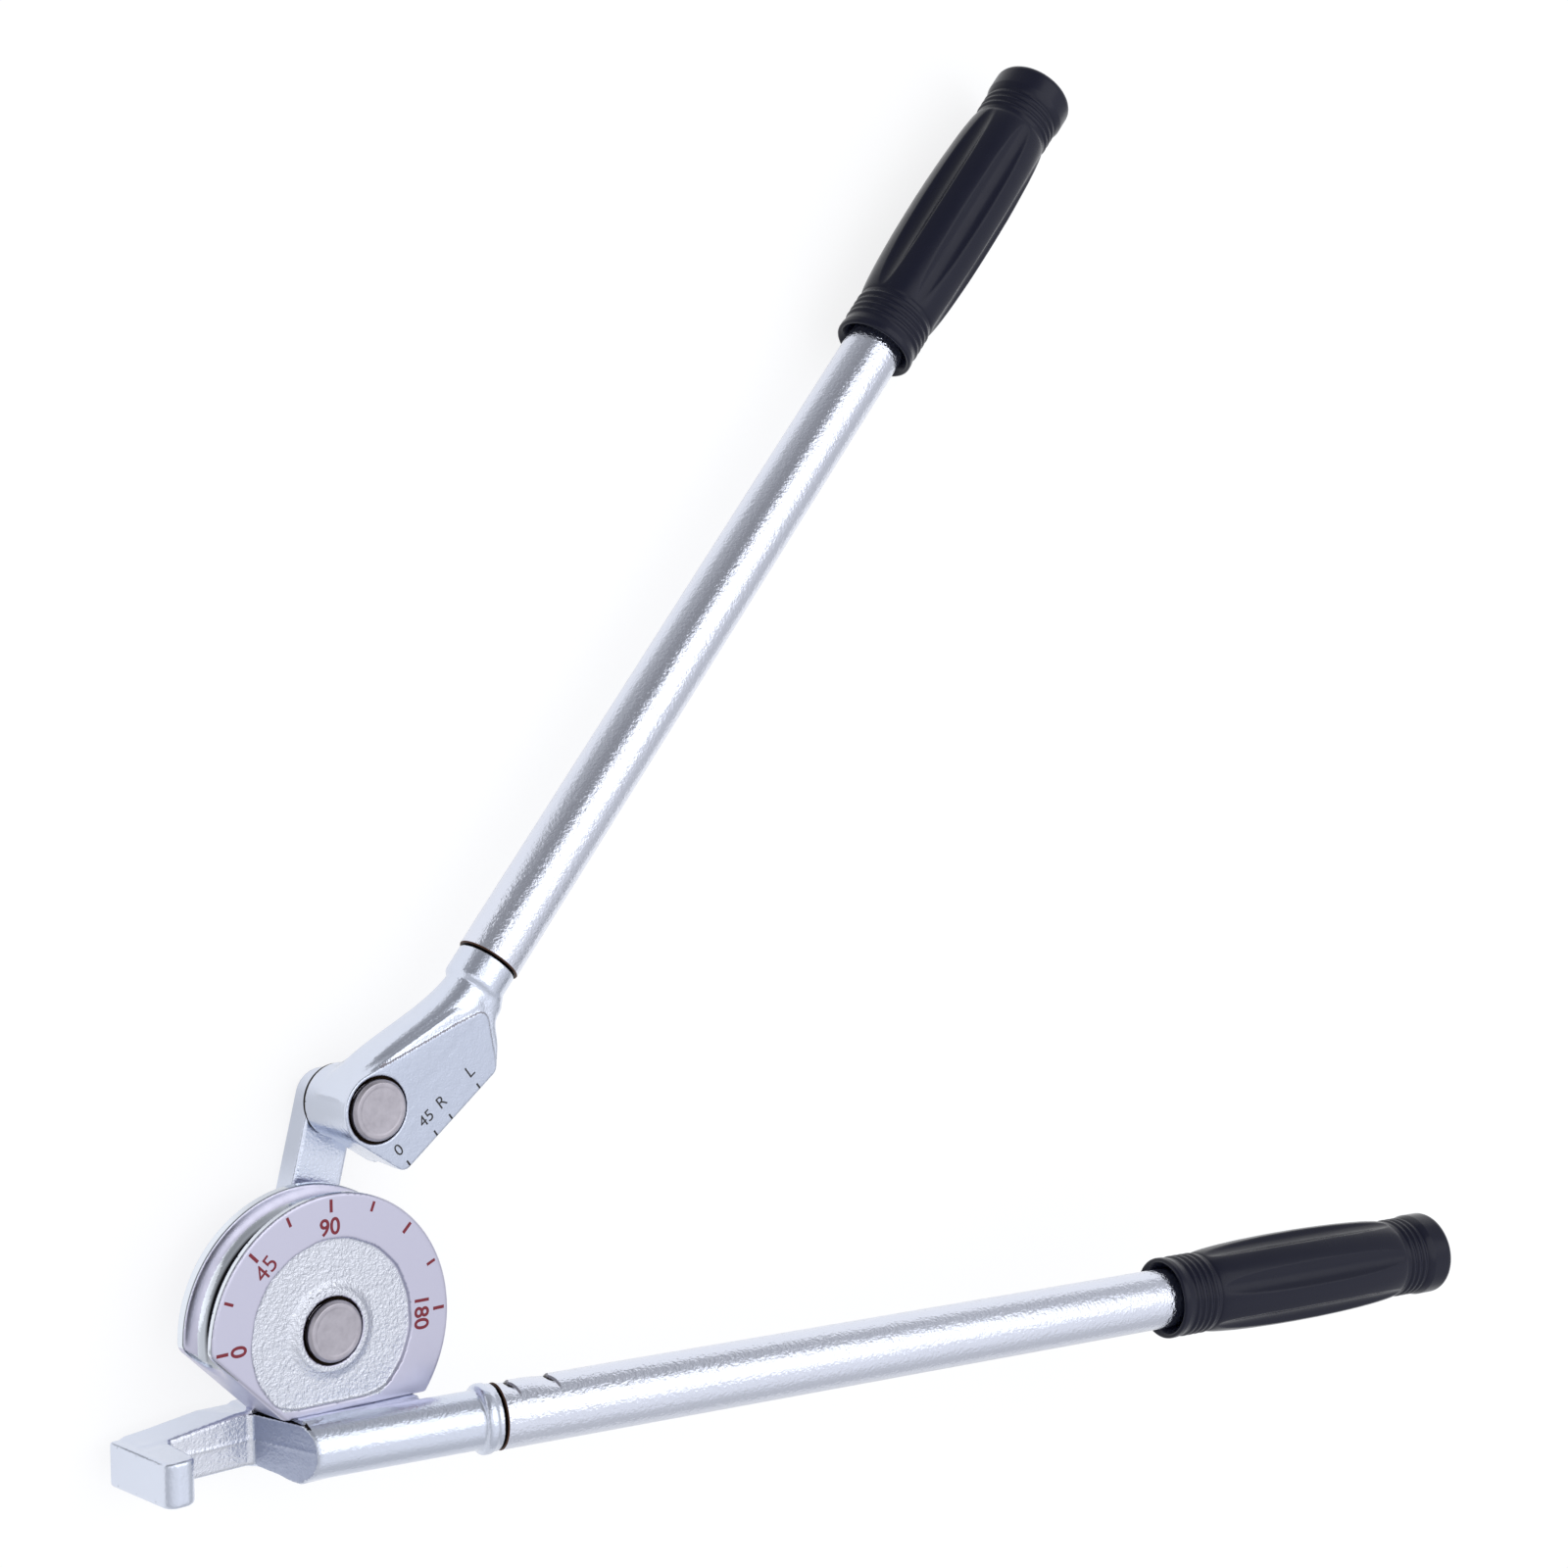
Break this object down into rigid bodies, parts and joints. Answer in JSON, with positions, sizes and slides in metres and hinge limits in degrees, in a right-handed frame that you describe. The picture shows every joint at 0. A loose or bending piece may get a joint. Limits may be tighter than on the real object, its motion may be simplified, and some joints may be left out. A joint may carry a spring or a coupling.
{
  "type": "tube bender",
  "caption": "Hand lever bender for round tube: a grooved form wheel with an angle dial and hook, a pivoting link, and a lever with a grooved shoe, on two long gripped handles.",
  "frame": {"origin": "bend centre: the form wheel's axis at the middle of its groove", "axes": "+X along the form handle seen square to the dial, +Y from the handle across the wheel towards the link, +Z along the wheel's axis out of the dial face; the tool lies on its back"},
  "size_m": [0.4466, 0.4162, 0.1266],
  "materials": {
    "plated_wheel": "satin chrome plate on a cast wheel, sand texture in the sunk field",
    "plated_casting": "satin chrome plate over castings",
    "plated_tube": "chrome plated drawn tube",
    "pin_steel": "turned steel",
    "bronze": "plain bearing bronze",
    "grip_black": "glossy black moulded grip"
  },
  "bodies": {
    "form_handle": {"form_wheel": "plated_wheel", "wheel_bush": "bronze", "wheel_dowels": "pin_steel", "hook_casting": "plated_casting", "form_tube": "plated_tube", "form_grip": "grip_black"},
    "link": {"link_bar": "plated_casting", "centre_pin": "pin_steel", "centre_ring": "pin_steel", "centre_washer": "pin_steel", "lever_pin": "pin_steel", "lever_ring": "pin_steel", "lever_washer": "pin_steel"},
    "lever": {"lever_casting": "plated_casting", "lever_bush": "bronze", "lever_tube": "plated_tube", "lever_grip": "grip_black"}
  },
  "joints": [
    {"name": "link_swing", "type": "hinge", "parent": "form_handle", "child": "link", "pos_m": [0, 0, 0], "axis": [0, 0, 1], "range_deg": [-75, 105]},
    {"name": "lever_swing", "type": "hinge", "parent": "link", "child": "lever", "pos_m": [0.01579, 0.05892, 0], "axis": [0, 0, 1], "range_deg": [-52.5, 100]}
  ]
}
